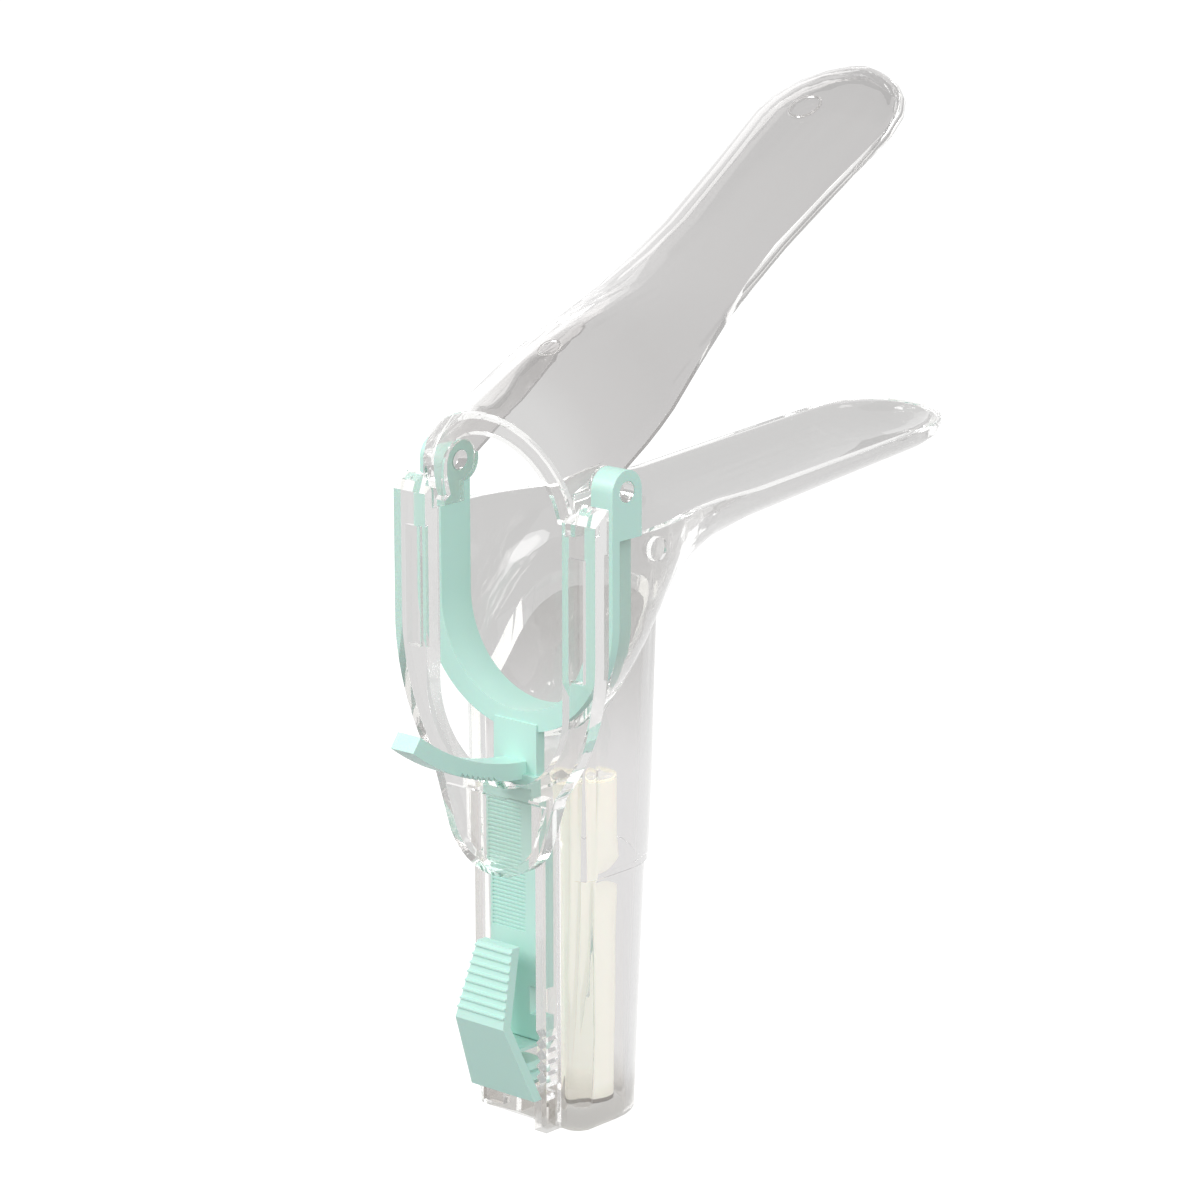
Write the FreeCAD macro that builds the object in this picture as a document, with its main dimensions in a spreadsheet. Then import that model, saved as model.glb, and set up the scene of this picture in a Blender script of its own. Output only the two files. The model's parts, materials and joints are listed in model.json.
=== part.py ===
import FreeCAD, Part
import math
import os

import Sketcher

# Bivalve speculum with a yoke that carries the upper blade, a ratchet and a lamp in the handle.
# Millimetres. +Z is up, +Y is the way the blades point, +X is the holder's right.
# The origin is on the base of the handle, in the middle of the web between its two chambers.

doc = FreeCAD.newDocument("speculum")
sheet = doc.addObject("Spreadsheet::Sheet", "sizes")
nodes = []


class Size:
    # A length or an angle that knows its number and the formula that gives it.
    def __init__(self, value, formula):
        self.value = float(value)
        self.formula = formula

    def __add__(self, other):
        other = as_size(other)
        return Size(self.value + other.value, f"({self.formula} + {other.formula})")

    def __sub__(self, other):
        other = as_size(other)
        return Size(self.value - other.value, f"({self.formula} - {other.formula})")

    def __mul__(self, other):
        other = as_size(other)
        return Size(self.value * other.value, f"({self.formula} * {other.formula})")

    def __truediv__(self, other):
        other = as_size(other)
        return Size(self.value / other.value, f"({self.formula} / {other.formula})")

    def __radd__(self, other):
        return as_size(other) + self

    def __rsub__(self, other):
        return as_size(other) - self

    def __rmul__(self, other):
        return as_size(other) * self

    def __neg__(self):
        return as_size(0) - self


def as_size(value):
    return value if isinstance(value, Size) else Size(value, f"({value})")


def sine(angle):
    return Size(math.sin(math.radians(angle.value)), f"sin({angle.formula})")


def cosine(angle):
    return Size(math.cos(math.radians(angle.value)), f"cos({angle.formula})")


# Frame
pin_height = 121.5
pin_setback = 0.8

# Clear mouldings
wall = 1.8
running_gap = 0.3

# Lower blade: stations from the aperture to the straight blade, reach and drop from the pins
aperture_half = 22
aperture_setback = -1.6
aperture_drop = 49
throat_reach = 9
throat_half = 21.8
throat_drop = 42
root_reach = 21
root_half = 19
root_drop = 29
neck_reach = 35
neck_half = 16
neck_drop = 20
lower_reach = 58
lower_half = 15.2
lower_drop = 15
lower_tip_reach = 111.5
lower_tip_round = 15
lower_rim_drop = 8.8
lower_rim_rise = 4.6
tip_depth_left = 0.35

# Upper blade: stations along its own axis, reach and crest from the pins
blade_angle = 31.3
rim_rise = 2.2
hood_back = -16
hood_half = 17.8
hood_crest = 18.6
hood_rim = -1.2
brow_reach = 13
brow_crest = 16.2
shoulder_reach = 22
shoulder_half = 17.6
shoulder_crest = 15
shoulder_rim = -0.6
waist_reach = 44
waist_half = 15.9
waist_crest = 8.5
upper_reach = 64
upper_half = 15
upper_crest = 6.5
fore_reach = 97.6
fore_half = 16.7
fore_crest = 7.2
upper_tip_reach = 114.2
upper_tip_round = 16.7
arch_lean = 16.5
arch_front = 8.4
arch_foot = 2.9
lip_width = 2.4

# Front frame of the upper blade, with its rails and thumb tongue
frame_front = 9.7
frame_depth = 3.6
rail_half = 24.3
rail_top = 4.8
rail_slope = 2.8
rail_end = 30
opening_half = 16.5
opening_drop = 56.3
rail_groove_width = 3.4
rail_groove_depth = 1.5
rail_groove_inset = 1.5
rail_groove_top = 11
frame_curve = 45
tongue_shoulder = 56
tongue_shoulder_half = 14.5
tongue_half = 11
tongue_corner = 66.2
tongue_drop = 73
tongue_radius = 12
tongue_edge = 1.6
tongue_dish = 1.6
pawl_half = 3
pawl_depth = 2.6
pawl_gap = 0.2

# Hinge pins and the yoke's ears
pin_radius = 1.9
pin_clearance = 0.06
hub_half = 17.95
ear_inner = 18.15
ear_outer = 23.2
ear_radius = 3.9
ear_drop = 8.6

# Yoke
strap_web = 1.5
strap_flange = 1.9
strap_drop = 46.9
strap_foot = 3.9
stem_half = 5.2
stem_front = 4.2
arm_half = 2.75
arm_inner = 52.3
arm_outer = 55.5
arm_end = 37
tooth_first = 12.2
tooth_pitch = 1.5
tooth_depth = 0.8
bar_half = 5.9
bar_thick = 2.6
bar_foot = 17
collar_drop = 54.4
collar_height = 1.8
collar_proud = 0.7
ridge_left = 5.4
ridge_right = 2.7
ridge_pitch = 0.75
ridge_depth = 0.25
ridge_top = 60
bar_notch_rise = 4.7
bar_notch_height = 5.4
bar_notch_depth = 2.2

# Handle
channel_wall = 2.5
channel_depth = 4
channel_top = 58
channel_floor = 1.4
channel_rise = 5.5
channel_foot = 3
floor_tab_left = 7
floor_tab_right = -2
floor_tab_drop = 2.5
web_thick = 1.8
handle_base_half = 13.2
handle_base_side = 8.6
handle_top_half = 15.2
handle_top_side = 11.6
handle_top_drop = 23
handle_corner = 2.4
sleeve_drop = 73.4
sleeve_proud = 0.7
rack_fall = 8.8
rack_pitch = 2.2
rack_depth = 1
port_radius = 2.2
port_reach = 9
port_drop = 12
port_proud = 0.8

# Latch lever
latch_thick = 2
latch_top_rise = 18.5
latch_top_front = 9.9
latch_top_half = 4.3
latch_elbow_rise = 4.5
latch_elbow_front = 14.2
latch_elbow_half = 5.9
latch_foot_fall = 10.5
latch_foot_half = 7.8
latch_hinge_radius = 0.9
latch_ridge_pitch = 1.6
latch_ridge_proud = 0.45
catch_half = 5.2

# Lamp in the rear chamber
lamp_back_gap = 0.4
lamp_radius = 4.85
lamp_wall = 0.45
lamp_base = 0
lamp_length = 61.4
lamp_rib = 1.2
lamp_rib_half = 2.6
lamp_fit = 0.1
plug_flange = 0.8
plug_depth = 3
cell_radius = 4.1
cell_length = 42.5
cell_button_radius = 1.4
cell_button_height = 0.8
spring_wire = 0.25
spring_radius = 2.6
spring_turns = 2
spring_height = 4.4
contact_thick = 0.3
contact_radius = 3.4
board_thick = 0.8
diode_radius = 1.5
diode_height = 2.2
lens_height = 1.4
lens_edge = 0.5
lens_seat = 1.2
strip_half = 0.8
strip_thick = 0.12
strip_gap = 0.08

# Each size above drives the model from its own row of the sheet.
driving = {name: value for name, value in globals().items() if isinstance(value, (int, float))}
for row, (name, value) in enumerate(driving.items(), 1):
    sheet.set(f"A{row}", name)
    sheet.set(f"B{row}", str(value))
    sheet.setAlias(f"B{row}", name)
    globals()[name] = Size(value, f"sizes.{name}")

# How many of each there are
tooth_count = 7
ridge_count = 33
rack_count = 5
latch_ridge_count = 8
wire_sides = 5
station_parts = 2
back_flats = 8
bowl_chords = 16
tip_turns = (0, 20, 38, 54, 68, 80)

doc.recompute()

# Places that several pieces share
pin_y = pin_setback
pin_z = pin_height
web_front = -web_thick / 2
web_back = web_thick / 2
channel_half = bar_half + running_gap
channel_outer = channel_half + channel_wall
channel_front = web_front - channel_depth
bar_back = web_front - running_gap
bar_front = bar_back - bar_thick
frame_y = pin_y - frame_front
frame_back = frame_y + frame_depth
yoke_front = pin_y - ear_radius
yoke_back = pin_y + ear_radius
hinge_z = bar_foot
hinge_y = bar_back - bar_thick / 2
rack_start = hinge_z - rack_fall
latch_top = hinge_z + latch_top_rise
latch_elbow = hinge_z + latch_elbow_rise
latch_foot = hinge_z - latch_foot_fall
seat_reach = ear_radius + running_gap
seat_half = ear_inner + strap_web + running_gap + wall
seat_drop = strap_drop - strap_foot + strap_web + running_gap + wall
lamp_y = pin_y + handle_base_side + handle_base_half - wall - lamp_back_gap - lamp_radius

planes = {
    "front": FreeCAD.Rotation(FreeCAD.Vector(1, 0, 0), 90),
    "side": FreeCAD.Rotation(FreeCAD.Vector(1, 1, 1), 120),
    "plan": FreeCAD.Rotation(),
}
offset_axis = {"front": "y", "side": "x", "plan": "z"}


def bind(feature, target, size):
    feature.setExpression(target, as_size(size).formula)


def arc_between(start, end, radius):
    # A positive radius turns left on the way from start to end, a negative one turns right.
    chord = end - start
    left = FreeCAD.Vector(-chord.y, chord.x, 0).normalize()
    away = math.sqrt(max(radius ** 2 - (chord.Length / 2) ** 2, 0))
    centre = start + chord * 0.5 + left * math.copysign(away, radius)
    first, last = (start, end) if radius > 0 else (end, start)
    angles = [math.atan2(point.y - centre.y, point.x - centre.x) for point in (first, last)]
    circle = Part.Circle(centre, FreeCAD.Vector(0, 0, 1), abs(radius))
    return Part.ArcOfCircle(circle, angles[0], angles[1])


def outline(name, plane, offset, path):
    # A closed sketch. Each step is an end point, with a radius where it is reached by an arc.
    sketch = doc.addObject("Sketcher::SketchObject", name)
    sketch.Placement = FreeCAD.Placement(FreeCAD.Vector(), planes[plane])
    bind(sketch, "Placement.Base." + offset_axis[plane], offset)
    steps = [tuple(as_size(item) for item in step) for step in path]
    points = [FreeCAD.Vector(step[0].value, step[1].value, 0) for step in steps]
    ends = []
    for index, step in enumerate(steps):
        start, end = points[index - 1], points[index]
        if len(step) == 3:
            sketch.addGeometry(arc_between(start, end, step[2].value))
            ends.append((1, 2) if step[2].value > 0 else (2, 1))
        else:
            sketch.addGeometry(Part.LineSegment(start, end))
            ends.append((1, 2))
    for index, step in enumerate(steps):
        following = (index + 1) % len(steps)
        corner = (index, ends[index][1])
        sketch.addConstraint(Sketcher.Constraint("Coincident", *corner, following, ends[following][0]))
        for kind, size in (("DistanceX", step[0]), ("DistanceY", step[1])):
            place = sketch.addConstraint(Sketcher.Constraint(kind, -1, 1, *corner, size.value))
            bind(sketch, f"Constraints[{place}]", size)
        if len(step) == 3:
            radius = step[2] if step[2].value > 0 else -step[2]
            place = sketch.addConstraint(Sketcher.Constraint("Radius", index, radius.value))
            bind(sketch, f"Constraints[{place}]", radius)
    return sketch


def both_sides(right):
    # The right half of an outline, walked anticlockwise, and its mirror image.
    left = []
    for index in range(len(right) - 1, -1, -1):
        x, y = as_size(right[index][0]), right[index][1]
        if x.value == 0:
            continue
        bend = right[index + 1][2:] if index + 1 < len(right) else ()
        left.append((-x, y) + tuple(bend))
    closing = right[1][2:] if as_size(right[0][0]).value == 0 else ()
    return [tuple(right[0][:2]) + tuple(closing)] + list(right[1:]) + left


def slab(name, plane, low, high, path):
    # An outline drawn across one axis and filled from low to high along it.
    start = high if plane == "front" else low
    solid = doc.addObject("Part::Extrusion", name)
    solid.Base = outline(name + "_outline", plane, start, path)
    solid.DirMode = "Normal"
    solid.Solid = True
    bind(solid, "LengthFwd", as_size(high) - low)
    return solid


def block(name, x, y, z):
    solid = doc.addObject("Part::Box", name)
    for axis, side, (low, high) in (("x", "Length", x), ("y", "Width", y), ("z", "Height", z)):
        bind(solid, "Placement.Base." + axis, low)
        bind(solid, side, as_size(high) - low)
    return solid


def rod(name, axis, centre, radius, length):
    # A cylinder that starts at the centre point and runs along the axis.
    turns = {"x": ((0, 1, 0), 90), "y": ((1, 0, 0), -90), "z": ((0, 0, 1), 0)}
    solid = doc.addObject("Part::Cylinder", name)
    direction, angle = turns[axis]
    solid.Placement = FreeCAD.Placement(
        FreeCAD.Vector(), FreeCAD.Rotation(FreeCAD.Vector(*direction), angle))
    for letter, place in zip("xyz", centre):
        bind(solid, "Placement.Base." + letter, place)
    bind(solid, "Radius", radius)
    bind(solid, "Height", length)
    return solid


def turned(name, y, z, path):
    # A piece of revolution about an upright axis, from a half outline in radius and height.
    solid = doc.addObject("Part::Revolution", name)
    solid.Source = outline(name + "_outline", "front", 0, path)
    solid.Axis = FreeCAD.Vector(0, 0, 1)
    solid.Solid = True
    bind(solid, "Placement.Base.y", y)
    bind(solid, "Placement.Base.z", z)
    return solid


def fuse(name, *solids):
    joined = doc.addObject("Part::MultiFuse", name)
    joined.Shapes = list(solids)
    joined.Refine = True
    return joined


def common(name, *solids):
    shared = doc.addObject("Part::MultiCommon", name)
    shared.Shapes = list(solids)
    return shared


def cut(name, base, *tools):
    for index, tool in enumerate(tools):
        result = doc.addObject("Part::Cut", f"{name}_{index}")
        result.Base = base
        result.Tool = tool
        base = result
    return base


def finish(label, solid):
    solid.Label = label
    nodes.append(solid)


def trough_section(distance, half, rim, depth, up):
    # Across the blade at one distance along it: straight sides from the rim and half an ellipse
    # in short chords.
    bowl = min(0.99 * half, 0.9 * depth)
    spring = rim + up * (depth - bowl)
    corners = [FreeCAD.Vector(half, distance, rim)]
    for chord in range(bowl_chords + 1):
        angle = math.pi * chord / bowl_chords
        corners.append(FreeCAD.Vector(half * math.cos(angle), distance, spring + up * bowl * math.sin(angle)))
    corners.append(FreeCAD.Vector(-half, distance, rim))
    return Part.makePolygon(corners + corners[:1])


def flow(places, index, reach):
    # One measure of the trough at a reach, on a smooth curve through the places that never
    # passes them: the slope at a place is nought where the measure turns there.
    steps = [(after[index] - before[index]) / (after[0] - before[0])
             for before, after in zip(places, places[1:])]
    slopes = [steps[0]]
    slopes += [0 if one * two <= 0 else 2 * one * two / (one + two) for one, two in zip(steps, steps[1:])]
    slopes.append(steps[-1])
    for place, (before, after) in enumerate(zip(places, places[1:])):
        if reach <= after[0]:
            break
    span = after[0] - before[0]
    share = (reach - before[0]) / span
    rise = share * share * (3 - 2 * share)
    bend = share * (share - 1) * ((share - 1) * slopes[place] + share * slopes[place + 1])
    return before[index] + (after[index] - before[index]) * rise + span * bend


def trough(name, places, tip_reach, tip_round, skin, rise, up):
    # The blade's form, or with a skin the hollow inside it. Its tip is round in plan.
    over = up * -skin
    start, reach = places[0][0], places[-1][0]
    sections = []
    if skin:
        half, rim, depth = places[0][1:]
        sections.append(trough_section(start - skin, half - skin, rim + over, depth, up))
    for before, after in zip(places, places[1:]):
        for part in range(station_parts):
            distance = before[0] + (after[0] - before[0]) * part / station_parts
            half, rim, depth = (flow(places, index, distance) for index in (1, 2, 3))
            sections.append(trough_section(distance, half - skin, rim + over, depth, up))
    half, rim, depth = places[-1][1:]
    centre = tip_reach - tip_round
    for turn in tip_turns:
        angle = math.radians(turn)
        distance = centre + (tip_round - skin) * math.sin(angle)
        lift = rise * (distance - reach)
        shrink = math.cos(angle)
        shallow = tip_depth_left.value + (1 - tip_depth_left.value) * shrink
        sections.append(trough_section(
            distance, (half - skin) * shrink, rim + lift + over, depth * shallow, up))
    return Part.makeLoft(sections, True, True)


def shape_node(name, shape):
    feature = doc.addObject("Part::Feature", name)
    feature.Shape = shape
    return feature


def lower_trough(name, skin):
    rim = (pin_z - lower_rim_drop).value
    places = (
        (aperture_setback, aperture_half, aperture_drop),
        (seat_reach, seat_half, seat_drop),
        (throat_reach, throat_half, throat_drop),
        (root_reach, root_half, root_drop),
        (neck_reach, neck_half, neck_drop),
        (lower_reach, lower_half, lower_drop),
    )
    stations = [
        ((pin_y + reach).value, half.value, rim, (drop - lower_rim_drop).value)
        for reach, half, drop in places
    ]
    rise = math.tan(math.radians(lower_rim_rise.value))
    tip = (pin_y + lower_tip_reach).value
    return shape_node(name, trough(name, stations, tip, lower_tip_round.value, skin, rise, -1))


def chamber_outline(name, z, half, side, inset, front):
    # The D of the rear chamber: a flat front with blunt corners and a round back in small flats.
    edge = half - inset
    right = [
        (edge - handle_corner, front),
        (edge - handle_corner / 3, front + handle_corner / 3),
        (edge, front + handle_corner),
    ]
    for flat in range(back_flats + 1):
        angle = math.radians(90 * flat / back_flats)
        across = edge * math.cos(angle) if flat < back_flats else 0
        right.append((across, pin_y + side + edge * math.sin(angle)))
    return outline(name, "plan", z, both_sides(right))


def chamber(name, low, high, inset, front):
    # The D lofted between its base size and its top size, at two heights.
    solid = doc.addObject("Part::Loft", name)
    sections = []
    top = pin_z - handle_top_drop
    for index, z in enumerate((low, high)):
        share = as_size(z) / top
        half = handle_base_half + (handle_top_half - handle_base_half) * share
        side = handle_base_side + (handle_top_side - handle_base_side) * share
        sections.append(chamber_outline(f"{name}_{index}", z, half, side, inset, front))
    solid.Sections = sections
    solid.Solid = True
    solid.Ruled = True
    return solid


def rack(name, side):
    # The teeth on the inner face of a channel wall, as the notches between them.
    inner = side * (channel_half - rack_depth)
    tip = side * channel_half
    root = side * (channel_half + rack_depth)
    path = [(inner, rack_start)]
    for tooth in range(rack_count):
        foot = rack_start + rack_pitch * tooth
        path.append((tip, foot))
        path.append((root, foot + rack_pitch / 2))
    top = rack_start + rack_pitch * rack_count
    path += [(tip, top), (inner, top)]
    return slab(name, "front", channel_front - 1, web_front, path)


def lower_blade_body():
    form = lower_trough("lower_form", 0)
    hollow = lower_trough("lower_hollow", wall.value)
    top = pin_z - handle_top_drop
    shell = chamber("handle_shell", 0, top, 0, web_front)
    sleeve = chamber("handle_sleeve", pin_z - sleeve_drop, top, -sleeve_proud, web_front)
    inside = cut("chamber_inside", chamber("handle_inside", -1, top, wall, web_front + wall), form)
    front = block("channel_walls", (-channel_outer, channel_outer), (channel_front, web_back),
                  (channel_rise, pin_z - channel_top))
    foot = block("channel_foot", (channel_outer - channel_foot, channel_outer), (channel_front, web_back),
                 (0, channel_rise + channel_floor))
    tab = block("floor_tab", (-floor_tab_left, floor_tab_right), (channel_front, channel_front + wall),
                (channel_rise - floor_tab_drop, channel_rise + channel_floor))
    slot = block("channel_slot", (-channel_half, channel_half), (channel_front - 1, web_front),
                 (channel_rise + channel_floor, pin_z - channel_top + 1))
    ribs = [
        block(f"lamp_rib_{side}", (side * lamp_rib_half - lamp_rib / 2, side * lamp_rib_half + lamp_rib / 2),
              (web_front + wall / 2, lamp_y), (0, pin_z - sleeve_drop + lamp_length / 4))
        for side in (-1, 1)
    ]
    bore = rod("lamp_bore", "z", (0, lamp_y, -1), lamp_radius + lamp_fit, pin_z)
    port = rod("port_boss", "x", (aperture_half - wall, pin_y + port_reach, pin_z - port_drop),
               port_radius, wall + port_proud)
    racks = [rack(f"rack_{side}", side) for side in (-1, 1)]
    hollowed = cut("handle_hollowed", fuse("handle_form", form, shell, sleeve, port), inside)
    open_top = cut("trough_open", hollowed, hollow)
    channelled = cut("channelled", fuse("with_channel", open_top, front, foot, tab), slot, *racks)
    held_ribs = cut("ribs_to_lamp", fuse("rib_pair", *ribs), bore)
    finish("lower_blade_body", fuse("lower_moulding", channelled, held_ribs))


def upper_trough(name, skin):
    # Built along the blade's own axis, with the hinge pins at its origin.
    places = (
        (hood_back, hood_half, hood_rim, hood_crest),
        (brow_reach, hood_half, hood_rim, brow_crest),
        (shoulder_reach, shoulder_half, shoulder_rim, shoulder_crest),
        (waist_reach, waist_half, rim_rise, waist_crest),
        (upper_reach, upper_half, rim_rise, upper_crest),
        (fore_reach, fore_half, rim_rise, fore_crest),
    )
    stations = [
        (reach.value, half.value, rim.value, (crest - rim).value)
        for reach, half, rim, crest in places
    ]
    shape = trough(name, stations, upper_tip_reach.value, upper_tip_round.value, skin, 0, 1)
    feature = shape_node(name, shape)
    feature.Placement = FreeCAD.Placement(
        FreeCAD.Vector(0, pin_y.value, pin_z.value),
        FreeCAD.Rotation(FreeCAD.Vector(1, 0, 0), blade_angle.value))
    return feature


def arch_keep(name, setback):
    # The half space behind the leaning plane of the arch.
    solid = doc.addObject("Part::Box", name)
    size = upper_tip_reach * 2
    for side, length in (("Length", size), ("Width", size), ("Height", size)):
        bind(solid, side, length)
    bind(solid, "Placement.Rotation.Angle", arch_lean)
    solid.Placement = FreeCAD.Placement(
        FreeCAD.Vector(-size.value / 2, 0, 0),
        FreeCAD.Rotation(FreeCAD.Vector(1, 0, 0), arch_lean.value))
    down = size / 2
    bind(solid, "Placement.Base.x", -size / 2)
    bind(solid, "Placement.Base.y", pin_y - arch_front + setback + down * sine(arch_lean))
    bind(solid, "Placement.Base.z", pin_z - arch_foot - down * cosine(arch_lean))
    return solid


def frame_path(inset, top):
    # The front view of the frame: straight rails that draw in to the thumb tongue.
    edge = rail_half - inset
    right = [
        (0, pin_z - tongue_drop + inset),
        (tongue_half - inset, pin_z - tongue_corner + inset / 4, tongue_radius - inset),
        (tongue_shoulder_half - inset, pin_z - tongue_shoulder + inset / 4),
        (edge, pin_z - rail_end, frame_curve - inset),
        (edge, top),
    ]
    return both_sides(right)


def upper_blade():
    hood = upper_trough("upper_form", 0)
    hollow = upper_trough("upper_hollow", wall.value)
    kept = common("hood_kept", hood, arch_keep("arch_plane", 0))
    scooped = common("hollow_kept", hollow, arch_keep("lip_plane", wall))
    mouth = upper_trough("mouth_form", (wall + lip_width).value)
    blade = cut("blade_shell", kept, scooped, mouth)
    plate = slab("frame_plate", "front", frame_y, frame_back, frame_path(0, pin_z - rail_top + rail_slope))
    slope = slab("rail_slope_cut", "side", -rail_half - 1, rail_half + 1, [
        (frame_y, pin_z - rail_top),
        (frame_back, pin_z - rail_top + rail_slope),
        (frame_back, pin_z),
        (frame_y - 1, pin_z),
        (frame_y - 1, pin_z - rail_top),
    ])
    spring = pin_z - opening_drop + opening_half
    opening = slab("frame_opening", "front", frame_y - 1, frame_back + 1, both_sides([
        (0, pin_z - opening_drop),
        (opening_half, spring, opening_half),
        (opening_half, pin_z + 1),
    ]))
    grooves = []
    for side in (-1, 1):
        near = opening_half + rail_groove_inset
        far = near + rail_groove_width
        across = (near, far) if side > 0 else (-far, -near)
        grooves.append(block(f"rail_groove_{side}", across, (frame_y - 1, frame_y + rail_groove_depth),
                             (pin_z - rail_end - rail_groove_width, pin_z - rail_groove_top)))
    dish = common(
        "tongue_dish",
        slab("dish_outline", "front", frame_y - 1, frame_y + tongue_dish, frame_path(tongue_edge, pin_z)),
        block("dish_band", (-rail_half, rail_half), (frame_y - 2, frame_back),
              (pin_z - tongue_drop, pin_z - opening_drop - tongue_edge)))
    frame = cut("frame", plate, slope, opening, *grooves, dish)
    cheeks = [
        block(f"cheek_{side}", (hood_half - wall, hub_half) if side > 0 else (-hub_half, wall - hood_half),
              (frame_y + frame_depth / 2, pin_y), (pin_z - rail_top - rail_slope, pin_z))
        for side in (-1, 1)
    ]
    discs = [
        rod(f"pin_disc_{side}", "x", (hood_half - wall if side > 0 else -hub_half, pin_y, pin_z),
            ear_radius, hub_half - hood_half + wall)
        for side in (-1, 1)
    ]
    pins = [
        rod(f"pin_{side}", "x", (hood_half - wall / 2 if side > 0 else -ear_outer + pin_clearance, pin_y, pin_z),
            pin_radius, ear_outer - pin_clearance - hood_half + wall / 2)
        for side in (-1, 1)
    ]
    reach = arm_outer + pawl_gap
    half_depth = pawl_depth / 2
    centre = frame_y + half_depth
    rise = Size(math.sqrt(reach.value ** 2 - (pin_y - centre).value ** 2),
                f"sqrt({reach.formula} ^ 2 - {(pin_y - centre).formula} ^ 2)")
    pawl = slab("pawl", "side", -pawl_half, pawl_half, [
        (centre - half_depth, pin_z - opening_drop - wall),
        (centre + half_depth, pin_z - opening_drop - wall),
        (centre + half_depth, pin_z - opening_drop + pawl_gap),
        (centre, pin_z - rise),
        (centre - half_depth, pin_z - opening_drop + pawl_gap),
    ])
    finish("upper_blade", fuse("upper_moulding", blade, frame, pawl, *cheeks, *discs, *pins))


def strap_path(half, drop, radius, top):
    # A U: straight arms with a round bottom.
    return both_sides([
        (0, pin_z - drop),
        (half, pin_z - drop + radius, radius),
        (half, top),
    ])


def arc_point(radius, angle):
    # A point round the pin axis, at an angle forward of straight down.
    return (pin_y - radius * sine(angle), pin_z - radius * cosine(angle))


def ratchet_path():
    root = as_size(2)
    path = [arc_point(arm_inner, root), arc_point(arm_outer, root)]
    for tooth in range(tooth_count):
        start = tooth_first + tooth_pitch * tooth
        bend = () if tooth else (-arm_outer,)
        path.append(arc_point(arm_outer, start) + bend)
        path.append(arc_point(arm_outer - tooth_depth, start + tooth_pitch * 0.9))
    last = tooth_first + tooth_pitch * tooth_count
    path.append(arc_point(arm_outer, last))
    path.append(arc_point(arm_outer, arm_end) + (-arm_outer,))
    path.append(arc_point(arm_inner, arm_end))
    path[0] = path[0] + (arm_inner,)
    return path


def yoke():
    inner_drop = strap_drop - strap_foot
    outer = slab("strap_outer", "front", yoke_front, yoke_back,
                 strap_path(ear_outer, strap_drop, ear_outer, pin_z))
    inner = slab("strap_inner", "front", yoke_front - 1, yoke_back + 1,
                 strap_path(ear_inner, inner_drop, ear_inner, pin_z + 1))
    recess = cut(
        "strap_recess",
        slab("recess_outer", "front", yoke_front + strap_flange, yoke_back + 1,
             strap_path(ear_outer + 1, strap_drop + 1, ear_outer + 1, pin_z - ear_drop)),
        slab("recess_inner", "front", yoke_front, yoke_back + 2,
             strap_path(ear_inner + strap_web, inner_drop + strap_web, ear_inner + strap_web, pin_z)))
    ears = [
        rod(f"ear_{side}", "x", (ear_inner if side > 0 else -ear_outer, pin_y, pin_z),
            ear_radius, ear_outer - ear_inner)
        for side in (-1, 1)
    ]
    strap = cut("strap", fuse("strap_form", outer, *ears), inner, recess)
    holes = rod("ear_holes", "x", (-ear_outer - 1, pin_y, pin_z), pin_radius + pin_clearance,
                (ear_outer + 1) * 2)
    stem_top = pin_z - strap_drop + strap_foot / 2
    stem = block("stem", (-stem_half, stem_half), (pin_y - stem_front, bar_back),
                 (pin_z - collar_drop - collar_height, stem_top))
    arm = slab("ratchet_arm", "side", -arm_half, arm_half, ratchet_path())
    collar = block("collar", (-bar_half, bar_half), (bar_front - collar_proud, bar_back),
                   (pin_z - collar_drop - collar_height, pin_z - collar_drop))
    bar = block("bar", (-bar_half, bar_half), (bar_front, bar_back), (hinge_z, pin_z - collar_drop))
    notch = block("bar_notch", (bar_half - bar_notch_depth, bar_half + 1), (bar_front - 1, bar_back + 1),
                  (hinge_z + bar_notch_rise, hinge_z + bar_notch_rise + bar_notch_height))
    grooves = [
        block(f"bar_groove_{index}", (-ridge_left, ridge_right), (bar_front - 1, bar_front + ridge_depth),
              (pin_z - ridge_top - ridge_pitch * (index + 0.5), pin_z - ridge_top - ridge_pitch * index))
        for index in range(ridge_count)
    ]
    bead = rod("bead_seat", "x", (-bar_half - 1, hinge_y, hinge_z),
               latch_hinge_radius + pin_clearance, (bar_half + 1) * 2)
    ridged = cut("ridged_bar", bar, notch, bead, *grooves)
    finish("yoke", cut("yoke_cut", fuse("yoke_form", strap, stem, arm, collar, ridged), holes))


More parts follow.
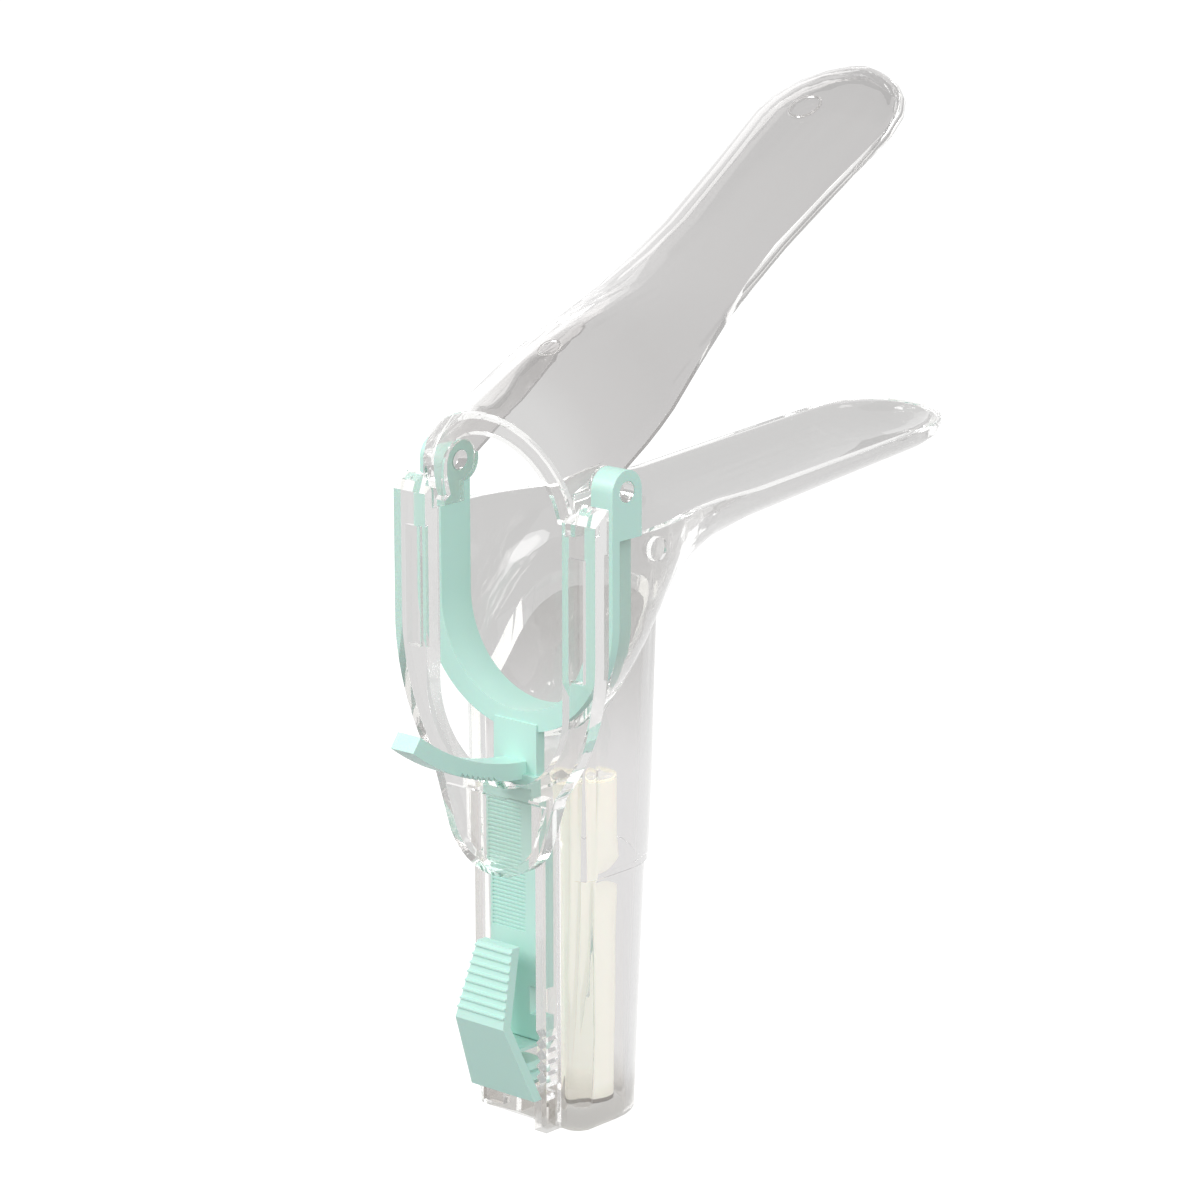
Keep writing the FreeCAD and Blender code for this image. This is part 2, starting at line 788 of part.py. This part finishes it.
def latch_lever():
    # Side view: pad from its top down to the elbow, then the lower arm back to the catches.
    top = (pin_y - latch_top_front, latch_top)
    elbow = (pin_y - latch_elbow_front, latch_elbow)
    foot = (channel_front - running_gap - latch_thick, latch_foot)
    side_view = slab("latch_side", "side", -latch_foot_half, latch_foot_half, [
        top,
        elbow,
        foot,
        (foot[0] + latch_thick, foot[1]),
        (elbow[0] + latch_thick, elbow[1]),
        (top[0] + latch_thick, top[1]),
    ])
    front_view = slab("latch_front", "front", elbow[0] - 1, pin_y, both_sides([
        (latch_foot_half, latch_foot),
        (latch_elbow_half, latch_elbow),
        (latch_top_half, latch_top),
    ]))
    ridges = []
    for index in range(latch_ridge_count):
        drop = latch_ridge_pitch * (index + 0.5)
        share = drop / (latch_top - latch_elbow)
        y = top[0] + (elbow[0] - top[0]) * share
        half = latch_top_half + (latch_elbow_half - latch_top_half) * share
        z = latch_top - drop
        ridges.append(slab(f"latch_ridge_{index}", "side", -half, half, [
            (y + latch_ridge_proud, z - latch_ridge_proud),
            (y + latch_ridge_proud, z + latch_ridge_proud),
            (y - latch_ridge_proud, z + latch_ridge_proud / 3),
            (y - latch_ridge_proud, z - latch_ridge_proud / 3),
        ]))
    neck_share = (hinge_z - latch_foot) / (latch_elbow - latch_foot)
    neck_y = foot[0] + (elbow[0] - foot[0]) * neck_share + latch_thick / 2
    neck = block("latch_neck", (-latch_elbow_half, latch_elbow_half), (neck_y, hinge_y),
                 (hinge_z - latch_hinge_radius, hinge_z - running_gap))
    bead = rod("latch_bead", "x", (-latch_elbow_half, hinge_y, hinge_z), latch_hinge_radius,
               latch_elbow_half * 2)
    gap = running_gap / 3
    catch_z = rack_start + rack_pitch / 4
    path = [(-catch_half, catch_z), (catch_half, catch_z)]
    for tooth in range(2):
        path.append((channel_half - gap, catch_z + rack_pitch * (tooth + 0.5)))
        path.append((catch_half, catch_z + rack_pitch * (tooth + 1)))
    left = [(-x, z) for x, z in reversed(path[1:])]
    catch_back = web_front - rack_depth
    catch = common(
        "latch_catch",
        slab("catch_front", "front", elbow[0], catch_back, path[1:] + left),
        slab("catch_side", "side", -channel_half, channel_half, [
            foot,
            (catch_back, latch_foot),
            (catch_back, latch_elbow),
            elbow,
        ]))
    finish("latch_lever", fuse("latch", common("latch_plate", side_view, front_view), neck, bead, catch, *ridges))


def coil(name, y, low, wire, radius, height, turns):
    # A compression spring with an upright axis, from the middle of its wire at both ends.
    path = Part.makeHelix(((height - wire * 2) / turns).value, (height - wire * 2).value, radius.value)
    start = FreeCAD.Vector(radius.value, 0, 0)
    corners = [
        start + FreeCAD.Vector(wire.value * math.cos(angle), 0, wire.value * math.sin(angle))
        for angle in (math.radians(360 * side / wire_sides) for side in range(wire_sides))
    ]
    section = Part.makePolygon(corners + corners[:1])
    wound = shape_node(name, Part.Wire(path.Edges).makePipeShell([section], True, True))
    bind(wound, "Placement.Base.y", y)
    bind(wound, "Placement.Base.z", low + wire)
    return wound


def lamp():
    inside = lamp_radius - lamp_wall
    tube_z = lamp_base + plug_flange
    finish("lamp_tube", turned("lamp_tube_form", lamp_y, tube_z, [
        (inside, 0), (lamp_radius, 0), (lamp_radius, lamp_length), (inside, lamp_length)]))
    finish("lamp_plug", turned("lamp_plug_form", lamp_y, lamp_base, [
        (0, 0), (lamp_radius, 0), (lamp_radius, plug_flange), (inside, plug_flange),
        (inside, plug_flange + plug_depth), (0, plug_flange + plug_depth)]))
    spring_z = tube_z + plug_depth
    finish("cell_spring", coil("cell_spring_form", lamp_y, spring_z, spring_wire, spring_radius,
                               spring_height, spring_turns))
    cell_z = spring_z + spring_height
    finish("lamp_cell", turned("cell_form", lamp_y, cell_z, [
        (0, 0), (cell_radius, 0), (cell_radius, cell_length), (cell_button_radius, cell_length),
        (cell_button_radius, cell_length + cell_button_height), (0, cell_length + cell_button_height)]))
    plate_z = cell_z + cell_length + cell_button_height
    finish("contact_plate", rod("contact_plate_form", "z", (0, lamp_y, plate_z), contact_radius, contact_thick))
    board_z = plate_z + contact_thick
    finish("lamp_board", rod("lamp_board_form", "z", (0, lamp_y, board_z), inside, board_thick))
    strip_front = lamp_y + cell_radius + strip_gap
    finish("contact_strip", block("contact_strip_form", (-strip_half, strip_half),
                                  (strip_front, strip_front + strip_thick), (spring_z, board_z)))
    finish("lamp_diode", turned("lamp_diode_form", lamp_y, board_z + board_thick, [
        (0, 0), (diode_radius, 0), (diode_radius, diode_height / 2),
        (diode_radius / 2, diode_height), (0, diode_height)]))
    top = lamp_length - lens_seat
    finish("lamp_lens", turned("lamp_lens_form", lamp_y, tube_z, [
        (0, top), (inside, top), (inside, lamp_length), (lamp_radius, lamp_length),
        (lamp_radius, lamp_length + lens_edge), (0, lamp_length + lens_height)]))


lower_blade_body()
upper_blade()
yoke()
latch_lever()
lamp()

doc.recompute()
faults = [item.Name for item in doc.Objects if "Invalid" in item.State or "Error" in item.State]
faults += [piece.Label for piece in nodes if piece.Shape.isNull() or not piece.Shape.isValid()]
if faults:
    raise RuntimeError("not built: " + ", ".join(faults))
os.makedirs("parts", exist_ok=True)
for piece in nodes:
    piece.Shape.exportStep(f"parts/{piece.Label}.step")
    print(piece.Label, len(piece.Shape.Solids), round(piece.Shape.Volume, 1))
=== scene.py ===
import json
import math

import bmesh
import bpy
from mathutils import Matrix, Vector


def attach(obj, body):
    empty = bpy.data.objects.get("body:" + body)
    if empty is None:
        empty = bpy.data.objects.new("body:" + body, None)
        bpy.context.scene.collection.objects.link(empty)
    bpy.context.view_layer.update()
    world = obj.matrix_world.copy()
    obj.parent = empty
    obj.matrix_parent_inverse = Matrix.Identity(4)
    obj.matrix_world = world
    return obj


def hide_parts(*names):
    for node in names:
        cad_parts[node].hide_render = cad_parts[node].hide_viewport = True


# Clear bivalve speculum with a mint yoke, seen from its front right on a white ground.

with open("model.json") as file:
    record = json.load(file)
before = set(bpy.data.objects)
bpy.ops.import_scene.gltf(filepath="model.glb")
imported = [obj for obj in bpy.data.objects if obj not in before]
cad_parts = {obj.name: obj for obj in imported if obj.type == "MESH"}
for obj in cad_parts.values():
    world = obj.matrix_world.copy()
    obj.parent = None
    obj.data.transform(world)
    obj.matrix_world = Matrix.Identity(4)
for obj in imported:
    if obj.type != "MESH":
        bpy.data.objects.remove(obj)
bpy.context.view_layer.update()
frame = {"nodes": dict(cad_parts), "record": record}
print("frame loaded:", len(frame["nodes"]), "nodes")


def linear(hexColour):
    # An sRGB hex value as the linear colour that the shaders take.
    parts = [int(hexColour[place:place + 2], 16) / 255 for place in (1, 3, 5)]
    return tuple(
        part / 12.92 if part <= 0.04045 else ((part + 0.055) / 1.055) ** 2.4
        for part in parts) + (1,)


def addNode(tree, kind, settings=None, inputs=None, links=None):
    node = tree.nodes.new(kind)
    for name, value in (settings or {}).items():
        setattr(node, name, value)
    for name, value in (inputs or {}).items():
        node.inputs[name].default_value = value
    for name, source in (links or {}).items():
        tree.links.new(source, node.inputs[name])
    return node


def newMaterial(name):
    material = bpy.data.materials.new(name)
    material.use_nodes = True
    material.node_tree.nodes.clear()
    return material, material.node_tree


def closeMaterial(tree, shader):
    addNode(tree, "ShaderNodeOutputMaterial", links={"Surface": shader.outputs[0]})


# What the clear mouldings share: the melt's waviness, the number of bounces after which light
# trapped in a wall is let out, and what a wall takes from the lamps' light.
clearWall = {"waveRelief": 0.04, "waveHeight": 0.0004, "bouncesTrapped": 9, "lampTint": "#fdfdfc"}


def clearPlastic(name, look):
    # Moulded clear plastic. Its tint may change along one axis, from place to place in
    #     millimetres: greyer where walls are thick or doubled, and greyer as painted shade where
    #     a piece stands in shade, as at the handle's foot.
    tints = look["tints"]
    material, tree = newMaterial(name)
    place = addNode(tree, "ShaderNodeTexCoord")
    waves = addNode(
        tree, "ShaderNodeTexNoise",
        inputs={"Scale": 1000 / look["waveMm"], "Detail": 1, "Roughness": 0.4},
        links={"Vector": place.outputs["Object"]})
    relief = addNode(
        tree, "ShaderNodeBump",
        inputs={"Strength": clearWall["waveRelief"], "Distance": clearWall["waveHeight"]},
        links={"Height": waves.outputs["Fac"]})
    glass = addNode(
        tree, "ShaderNodeBsdfPrincipled",
        inputs={"Base Color": linear(tints[0][1]), "Roughness": look["roughness"],
                "IOR": look["ior"], "Transmission Weight": 1},
        links={"Normal": relief.outputs["Normal"]})
    if len(tints) > 1:
        first, last = tints[0][0], tints[-1][0]
        axes = addNode(tree, "ShaderNodeSeparateXYZ", links={"Vector": place.outputs["Object"]})
        along = addNode(
            tree, "ShaderNodeMapRange",
            inputs={"From Min": first / 1000, "From Max": last / 1000},
            links={"Value": axes.outputs[look["axis"]]})
        ramp = addNode(tree, "ShaderNodeValToRGB", links={"Fac": along.outputs["Result"]})
        stops = ramp.color_ramp.elements
        stops[0].color = linear(tints[0][1])
        stops[1].color = linear(tints[-1][1])
        for reach, colour in tints[1:-1]:
            stops.new((reach - first) / (last - first)).color = linear(colour)
        tree.links.new(ramp.outputs["Color"], glass.inputs["Base Color"])
    # Light from the lamps goes straight through the thin wall, and trapped light gets out.
    path = addNode(tree, "ShaderNodeLightPath")
    trapped = addNode(
        tree, "ShaderNodeMath", {"operation": "GREATER_THAN"},
        inputs={1: clearWall["bouncesTrapped"]}, links={0: path.outputs["Ray Depth"]})
    lit = addNode(
        tree, "ShaderNodeMath", {"operation": "MAXIMUM"},
        links={0: path.outputs["Is Diffuse Ray"], 1: path.outputs["Is Shadow Ray"]})
    free = addNode(
        tree, "ShaderNodeMath", {"operation": "MAXIMUM"},
        links={0: trapped.outputs[0], 1: lit.outputs[0]})
    passing = addNode(
        tree, "ShaderNodeBsdfTransparent", inputs={"Color": linear(clearWall["lampTint"])})
    wall = addNode(
        tree, "ShaderNodeMixShader",
        links={0: free.outputs[0], 1: glass.outputs[0], 2: passing.outputs[0]})
    closeMaterial(tree, wall)
    return material


# What the opaque mouldings share: how far the gloss varies, how deep the grain of the mould
# stands, and how far light goes into the plastic, in metres.
opaqueWall = {
    "ior": 1.5, "glossSpread": 0.05, "grainRelief": 0.12, "grainHeight": 0.0001,
    "softness": 0.1, "lightDepth": 0.002,
}


def mouldedPlastic(name, look):
    # Opaque moulded plastic: one colour, with a faint mould grain, slightly uneven gloss and,
    # where given, a painted glow.
    # The real grain is near 0.05 mm, too fine to show, so it is drawn coarser.
    material, tree = newMaterial(name)
    place = addNode(tree, "ShaderNodeTexCoord")
    grain = addNode(
        tree, "ShaderNodeTexNoise",
        inputs={"Scale": 1000 / look["grainMm"], "Detail": 2},
        links={"Vector": place.outputs["Object"]})
    gloss = addNode(
        tree, "ShaderNodeMapRange",
        inputs={"To Min": look["roughness"] - opaqueWall["glossSpread"],
                "To Max": look["roughness"] + opaqueWall["glossSpread"]},
        links={"Value": grain.outputs["Fac"]})
    relief = addNode(
        tree, "ShaderNodeBump",
        inputs={"Strength": opaqueWall["grainRelief"], "Distance": opaqueWall["grainHeight"]},
        links={"Height": grain.outputs["Fac"]})
    shader = addNode(
        tree, "ShaderNodeBsdfPrincipled",
        inputs={"Base Color": linear(look["colour"]), "IOR": opaqueWall["ior"],
                "Subsurface Weight": opaqueWall["softness"],
                "Subsurface Scale": opaqueWall["lightDepth"],
                # Emission is painted light: a glow given to a piece that is no lamp.
                "Emission Color": linear(look["colour"]),
                "Emission Strength": look.get("glow", 0)},
        links={"Roughness": gloss.outputs["Result"], "Normal": relief.outputs["Normal"]})
    closeMaterial(tree, shader)
    return material


def workedMetal(name, look):
    # Drawn or rolled metal: a shine that faint lines of the working break up. They are finer
    # than the render shows, so they are drawn coarser.
    material, tree = newMaterial(name)
    place = addNode(tree, "ShaderNodeTexCoord")
    lines = addNode(
        tree, "ShaderNodeTexNoise",
        inputs={"Scale": 1000 / look["lineMm"], "Detail": 2},
        links={"Vector": place.outputs["Object"]})
    relief = addNode(
        tree, "ShaderNodeBump",
        inputs={"Strength": look["lineRelief"], "Distance": look["lineHeight"]},
        links={"Height": lines.outputs["Fac"]})
    shader = addNode(
        tree, "ShaderNodeBsdfPrincipled",
        inputs={"Base Color": linear(look["colour"]), "Metallic": 1,
                "Roughness": look["roughness"]},
        links={"Normal": relief.outputs["Normal"]})
    closeMaterial(tree, shader)
    return material


# Injection moulded polystyrene: a wet gloss, nearly clear in the frame in front of the hood
# and a pale warm grey along the hood and the blade.
clear = clearPlastic("clearPolystyreneUpper", {
    "roughness": 0.02, "ior": 1.55, "waveMm": 17, "axis": "Y",
    "tints": ((-6, "#f6f5f4"), (2, "#ebe9e8"), (18, "#e4e2e1"), (40, "#e8e6e5")),
})
# The same plastic from the foot up: grey in the foot as painted shade, clear in the handle, pale
# grey above.
clearHandleShadedFoot = clearPlastic("clearPolystyreneHandleShadedFoot", {
    "roughness": 0.02, "ior": 1.55, "waveMm": 17, "axis": "Z",
    "tints": ((3, "#e2dfdc"), (8, "#fdfcfc"), (66, "#fdfcfc"), (88, "#ecebea")),
})
# Injection moulded acrylic: bright, with hardly any colour of its own.
clearLens = clearPlastic("clearAcrylicLens", {
    "roughness": 0.03, "ior": 1.49, "waveMm": 17, "tints": ((0, "#f4f3f2"),),
})
# Injection moulded polypropylene: a satin, slightly waxy mint that is even all over.
mint = mouldedPlastic("mintPolypropyleneMoulded", {
    "colour": "#c8eee4", "roughness": 0.38, "grainMm": 0.6,
})
# Extruded ABS sleeve: matt cream, with a faint painted glow of its own that brightens it behind
# the clear walls.
cream = mouldedPlastic("creamLampSleevePaintedGlow", {
    "colour": "#faf6ec", "roughness": 0.5, "grainMm": 0.8, "glow": 0.3,
})
# Moulded polyethylene that ends the sleeve, coloured a dull grey that also stands in for the
# shade at the handle's foot, as painted shade.
greyPlugAndShade = mouldedPlastic("greyPolyethylenePlugAndShade", {
    "colour": "#a8a29e", "roughness": 0.45, "grainMm": 0.8,
})
# Printed solder mask on the board: a glossy dark green.
greenBoard = mouldedPlastic("solderMask", {
    "colour": "#1f6b45", "roughness": 0.35, "grainMm": 0.5,
})
# Cast epoxy with phosphor: a smooth yellow dome.
resin = mouldedPlastic("diodeResin", {
    "colour": "#f3ecae", "roughness": 0.2, "grainMm": 0.5,
})
# Drawn steel: a cool grey shine.
steel = workedMetal("drawnSteel", {
    "colour": "#b9b8b4", "roughness": 0.3, "lineMm": 0.4, "lineRelief": 0.1,
    "lineHeight": 0.0001,
})
# Rolled brass strip: a warm yellow shine.
brassStrip = workedMetal("rolledBrass", {
    "colour": "#c9a66b", "roughness": 0.3, "lineMm": 0.4, "lineRelief": 0.1,
    "lineHeight": 0.0001,
})

finishes = {
    "lower_blade_body": clearHandleShadedFoot, "upper_blade": clear,
    "yoke": mint, "latch_lever": mint,
    "lamp_tube": cream, "lamp_plug": greyPlugAndShade, "lamp_lens": clearLens, "lamp_diode": resin,
    "lamp_board": greenBoard, "contact_plate": brassStrip, "contact_strip": brassStrip,
    "lamp_cell": steel, "cell_spring": steel,
}

rounding = {
    "weld": 2e-6, "sharpDegrees": 38, "steps": 2,
    "flatness": 80,  # above 50, the broad faces keep more of their own direction
    "edgeMm": {"lower_blade_body": 0.3, "upper_blade": 0.35, "yoke": 0.3, "latch_lever": 0.3},
}


def bodyOf(node):
    bodies = frame["record"]["behaviour"]["bodies"]
    return next(name for name, members in bodies.items() if node in members)


def roundedCopy(node):
    # The node's own solid with its sharp edges rounded, as a mould leaves them.
    mesh = frame["nodes"][node].data.copy()
    mesh.name = node + "Rounded"
    shape = bmesh.new()
    shape.from_mesh(mesh)
    bmesh.ops.remove_doubles(shape, verts=shape.verts, dist=rounding["weld"])
    shape.to_mesh(mesh)
    shape.free()
    mesh.shade_smooth()
    piece = bpy.data.objects.new(node + "Rounded", mesh)
    bpy.context.scene.collection.objects.link(piece)
    edge = piece.modifiers.new("edge", "BEVEL")
    edge.width = rounding["edgeMm"][node] / 1000
    edge.segments = rounding["steps"]
    edge.limit_method = "ANGLE"
    edge.angle_limit = math.radians(rounding["sharpDegrees"])
    flats = piece.modifiers.new("flats", "WEIGHTED_NORMAL")
    flats.mode = "FACE_AREA"
    flats.weight = rounding["flatness"]
    graph = bpy.context.evaluated_depsgraph_get()
    finished = bpy.data.meshes.new_from_object(piece.evaluated_get(graph))
    piece.modifiers.clear()
    piece.data = finished
    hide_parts(node)
    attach(piece, bodyOf(node))
    return piece


for node, material in finishes.items():
    piece = roundedCopy(node) if node in rounding["edgeMm"] else frame["nodes"][node]
    piece.data.materials.clear()
    piece.data.materials.append(material)
print("mouldings rounded and materials set:", len(finishes))

# Raised rings that the ejector pins leave on the crown of the upper blade. Each is placed in
# millimetres across, along and above the blade's axis, which starts at the hinge pin.
rings = {
    "body": "upper_blade", "slot": "clear_blade",
    "hinge": (0, 0.0008, 0.1215), "tiltDegrees": 31.3,
    "wireMm": 0.28, "wireFlat": 0.7, "turns": 48, "sides": 8,
    "marks": (
        {"across": -2, "along": 97.5, "above": 7.25, "radius": 3.1},
        {"across": 0, "along": 16, "above": 15.75, "radius": 2.1},
    ),
}


def ringMark(index, mark):
    tilt = math.radians(rings["tiltDegrees"])
    acrossAxis = Vector((1, 0, 0))
    alongAxis = Vector((0, math.cos(tilt), math.sin(tilt)))
    aboveAxis = Vector((0, -math.sin(tilt), math.cos(tilt)))
    centre = Vector(rings["hinge"]) + (
        acrossAxis * mark["across"] + alongAxis * mark["along"]
        + aboveAxis * mark["above"]) / 1000
    wire = rings["wireMm"] / 1000
    turns, sides = rings["turns"], rings["sides"]
    points = []
    for turn in range(turns):
        angle = 2 * math.pi * turn / turns
        outward = acrossAxis * math.cos(angle) + alongAxis * math.sin(angle)
        for side in range(sides):
            around = 2 * math.pi * side / sides
            points.append(
                centre + outward * (mark["radius"] / 1000 + wire * math.cos(around))
                + aboveAxis * wire * rings["wireFlat"] * math.sin(around))
    faces = []
    for turn in range(turns):
        after = (turn + 1) % turns
        for side in range(sides):
            beside = (side + 1) % sides
            faces.append((turn * sides + side, after * sides + side,
                          after * sides + beside, turn * sides + beside))
    mesh = bpy.data.meshes.new(f"ejectorRing{index}")
    mesh.from_pydata(points, [], faces)
    mesh.shade_smooth()
    mesh.materials.append(clear)
    ring = bpy.data.objects.new(f"ejectorRing{index}", mesh)
    bpy.context.scene.collection.objects.link(ring)
    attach(ring, rings["body"])


for index, mark in enumerate(rings["marks"]):
    ringMark(index, mark)
print("ejector rings added:", len(rings["marks"]))

view = {
    # where the camera looks and how far away it stands, in metres
    "target": (-0.0926, 0.1244, 0.0587), "distance": 0.96463,
    # degrees round the object from straight in front, up from level, and tipped sideways
    "azimuth": 41.517, "elevation": 14.346, "roll": -0.064,
    "focalMm": 134.7, "sensorMm": 36,
}


def addCamera():
    azimuth, elevation = math.radians(view["azimuth"]), math.radians(view["elevation"])
    back = Vector((
        math.sin(azimuth) * math.cos(elevation), -math.cos(azimuth) * math.cos(elevation),
        math.sin(elevation)))
    lens = bpy.data.cameras.new("camera")
    lens.sensor_width = view["sensorMm"]
    lens.lens = view["focalMm"]
    camera = bpy.data.objects.new("camera", lens)
    bpy.context.scene.collection.objects.link(camera)
    camera.location = Vector(view["target"]) + back * view["distance"]
    camera.rotation_euler = back.to_track_quat("Z", "Y").to_euler()
    camera.rotation_euler.rotate_axis("Z", math.radians(view["roll"]))
    bpy.context.scene.camera = camera


addCamera()
print("camera set")

studio = {
    # how bright the backdrop is: to the camera and in gloss, through clear plastic, as fill
    "seen": 1.0, "through": 0.53, "fill": 0.72,
    "floorHalf": 3.0, "floorSeen": 0.86, "floorThrough": 0.43,
    "paper": (0.3, 0.3, 0.3, 1),  # what the floor gives back of the lamps' light
    "aim": (0, 0.03, 0.1),
    "lamps": (
        # name, place, width and height in metres, watts
        ("keyBox", (-0.6, -0.9, 0.9), (0.6, 0.6), 9),
        ("leftRearBox", (-1.0, 0.5, 0.45), (0.9, 0.6), 0.9),
        ("rightBox", (1.1, -0.35, 0.6), (0.5, 0.6), 3.5),
    ),
    # light finds its way out of the thin walls only after many bounces
    "bounces": 32, "glossBounces": 24, "clearBounces": 24,
}
white = (1, 1, 1, 1)


def backdropStrength(tree, seen, through, fill):
    path = addNode(tree, "ShaderNodeLightPath")
    shown = addNode(
        tree, "ShaderNodeMath", {"operation": "MAXIMUM"},
        links={0: path.outputs["Is Camera Ray"], 1: path.outputs["Is Glossy Ray"]})
    direct = addNode(
        tree, "ShaderNodeMix", inputs={"A": fill, "B": seen},
        links={"Factor": shown.outputs[0]})
    strength = addNode(
        tree, "ShaderNodeMix", inputs={"B": through},
        links={"Factor": path.outputs["Is Transmission Ray"], "A": direct.outputs["Result"]})
    return strength.outputs["Result"]


def addWorld():
    world = bpy.data.worlds.new("studio")
    bpy.context.scene.world = world
    world.use_nodes = True
    tree = world.node_tree
    tree.nodes.clear()
    strength = backdropStrength(tree, studio["seen"], studio["through"], studio["fill"])
    glow = addNode(
        tree, "ShaderNodeBackground", inputs={"Color": white}, links={"Strength": strength})
    addNode(tree, "ShaderNodeOutputWorld", links={"Surface": glow.outputs[0]})


def addFloor():
    # Matt white paper, which keeps the object's shadow.
    half = studio["floorHalf"]
    corners = [(-half, -half, 0), (half, -half, 0), (half, half, 0), (-half, half, 0)]
    mesh = bpy.data.meshes.new("floor")
    mesh.from_pydata(corners, [], [(0, 1, 2, 3)])
    floor = bpy.data.objects.new("floor", mesh)
    bpy.context.scene.collection.objects.link(floor)
    material, tree = newMaterial("whitePaper")
    strength = backdropStrength(tree, studio["floorSeen"], studio["floorThrough"], 0)
    glow = addNode(
        tree, "ShaderNodeEmission", inputs={"Color": white}, links={"Strength": strength})
    paper = addNode(tree, "ShaderNodeBsdfDiffuse", inputs={"Color": studio["paper"]})
    both = addNode(
        tree, "ShaderNodeAddShader", links={0: glow.outputs[0], 1: paper.outputs[0]})
    closeMaterial(tree, both)
    mesh.materials.append(material)


def addLamps():
    for name, place, size, power in studio["lamps"]:
        light = bpy.data.lights.new(name, "AREA")
        light.shape = "RECTANGLE"
        light.size, light.size_y = size
        light.energy = power
        lamp = bpy.data.objects.new(name, light)
        bpy.context.scene.collection.objects.link(lamp)
        lamp.location = place
        aim = Vector(studio["aim"]) - lamp.location
        lamp.rotation_euler = aim.to_track_quat("-Z", "Y").to_euler()


addWorld()
addFloor()
addLamps()
scene = bpy.context.scene
scene.view_settings.view_transform = "Standard"
scene.cycles.max_bounces = studio["bounces"]
scene.cycles.glossy_bounces = studio["glossBounces"]
scene.cycles.transmission_bounces = studio["clearBounces"]
print("studio set")
